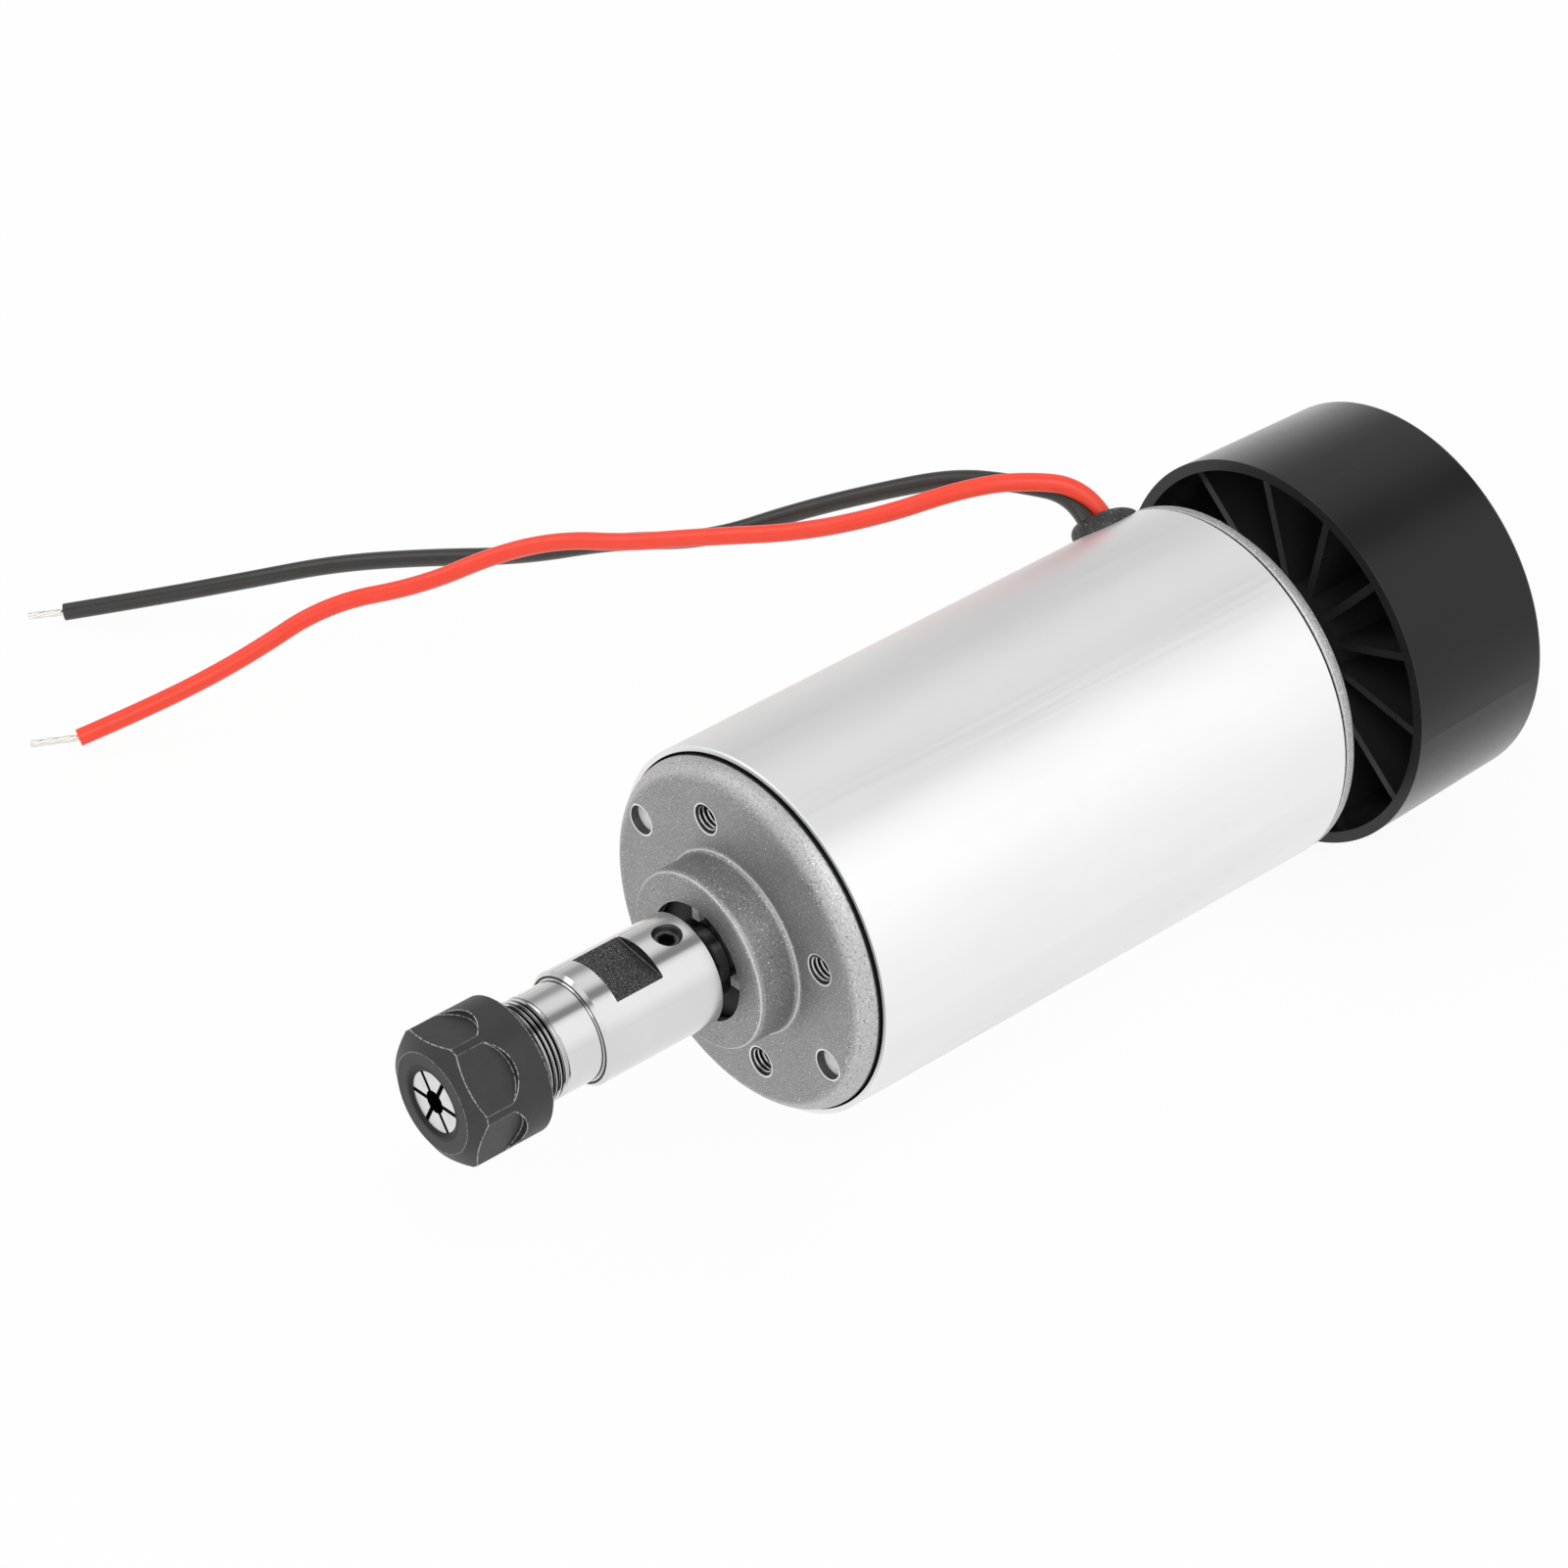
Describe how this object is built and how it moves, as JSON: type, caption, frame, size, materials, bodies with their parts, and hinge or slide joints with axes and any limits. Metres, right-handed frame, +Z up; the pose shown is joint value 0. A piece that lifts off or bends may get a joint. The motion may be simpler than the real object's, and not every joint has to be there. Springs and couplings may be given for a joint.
{
  "type": "motor spindle",
  "caption": "Brushed DC motor spindle with a collet nose and clamping nut, cast end caps, cylindrical steel body, rear cooling fan and two flying leads.",
  "frame": {"origin": "centre of the front mounting face, on the spindle axis", "axes": "+Y from the collet nose to the fan along the spindle axis, +Z up, +X to the right looking along +Y"},
  "size_m": [0.1814, 0.1715, 0.057],
  "materials": {
    "tube_steel": "satin nickel plate on drawn steel",
    "cast_metal": "as cast, fine bead texture",
    "polished_steel": "ground and polished",
    "bearing_steel": "polished",
    "plated_screw": "zinc plate",
    "black_screw": "black oxide",
    "blackened_steel": "black oxide, worn bright at the edges",
    "collet_steel": "ground",
    "fan_plastic": "moulded, semi-gloss black",
    "black_rubber": "moulded, matte",
    "seal_rubber": "moulded on steel",
    "red_insulation": "soft extruded insulation, satin",
    "black_insulation": "soft extruded insulation, satin",
    "tinned_copper": "tinned strand",
    "laminations": "stacked sheet, varnished",
    "fibre": "insulating fibre",
    "enamelled_copper": "enamelled wire",
    "copper": "turned",
    "moulded_phenolic": "moulded",
    "ferrite": "sintered, unfinished",
    "spring_steel": "bright",
    "brass_sheet": "pressed sheet",
    "carbon": "pressed carbon"
  },
  "bodies": {
    "housing": {"housing_tube": "tube_steel", "front_end_cap": "cast_metal", "rear_end_cap": "cast_metal", "through_bolts": "plated_screw", "front_bearing_outer_race": "bearing_steel", "front_bearing_seals": "seal_rubber", "rear_bearing_outer_race": "bearing_steel", "rear_bearing_seals": "seal_rubber", "preload_washer": "spring_steel", "magnet_upper": "ferrite", "magnet_lower": "ferrite", "magnet_clips": "spring_steel", "brush_plate": "moulded_phenolic", "brush_holders": "brass_sheet", "brush_spring_right": "spring_steel", "brush_spring_left": "spring_steel", "lead_grommet": "black_rubber", "lead_red": "red_insulation", "lead_red_end": "tinned_copper", "lead_black": "black_insulation", "lead_black_end": "tinned_copper"},
    "rotor": {"motor_shaft": "polished_steel", "armature_core": "laminations", "armature_insulators": "fibre", "armature_windings": "enamelled_copper", "commutator_hub": "moulded_phenolic", "commutator_bars": "copper", "front_bearing_inner_race": "bearing_steel", "rear_bearing_inner_race": "bearing_steel", "collet_holder": "polished_steel", "set_screws": "black_screw", "fan_wheel": "fan_plastic"},
    "front_ball_set": {"front_bearing_balls": "bearing_steel", "front_bearing_cage": "spring_steel"},
    "rear_ball_set": {"rear_bearing_balls": "bearing_steel", "rear_bearing_cage": "spring_steel"},
    "right_brush": {"brush_right": "carbon"},
    "left_brush": {"brush_left": "carbon"},
    "collet_body": {"collet": "collet_steel"},
    "nut_body": {"clamping_nut": "blackened_steel"}
  },
  "joints": [
    {"name": "rotor_spin", "type": "hinge", "parent": "housing", "child": "rotor", "pos_m": [0, 0, 0], "axis": [0, 1, 0], "continuous": true},
    {"name": "front_ball_spin", "type": "hinge", "parent": "housing", "child": "front_ball_set", "pos_m": [0, -0.0015, 0], "axis": [0, 1, 0], "continuous": true},
    {"name": "rear_ball_spin", "type": "hinge", "parent": "housing", "child": "rear_ball_set", "pos_m": [0, 0.0822, 0], "axis": [0, 1, 0], "continuous": true},
    {"name": "collet_slide", "type": "slide", "parent": "rotor", "child": "collet_body", "axis": [0, -1, 0], "range_m": [0, 0.0045]},
    {"name": "nut_turn", "type": "hinge", "parent": "collet_body", "child": "nut_body", "pos_m": [0, -0.0433, 0], "axis": [0, -1, 0], "range_deg": [0, 2200]},
    {"name": "right_brush_slide", "type": "slide", "parent": "housing", "child": "right_brush", "axis": [1, 0, 0], "range_m": [0, 0.0015], "stiffness_N_per_m": 200, "springref_m": -0.004, "deforming": ["brush_spring_right"]},
    {"name": "left_brush_slide", "type": "slide", "parent": "housing", "child": "left_brush", "axis": [-1, 0, 0], "range_m": [0, 0.0015], "stiffness_N_per_m": 200, "springref_m": -0.004, "deforming": ["brush_spring_left"]}
  ],
  "couplings": [
    {"joint": "front_ball_spin", "follows": "rotor_spin", "ratio": 0.36773},
    {"joint": "rear_ball_spin", "follows": "rotor_spin", "ratio": 0.36773},
    {"joint": "nut_turn", "follows": "collet_slide", "rad_per_m": 8377.6}
  ]
}
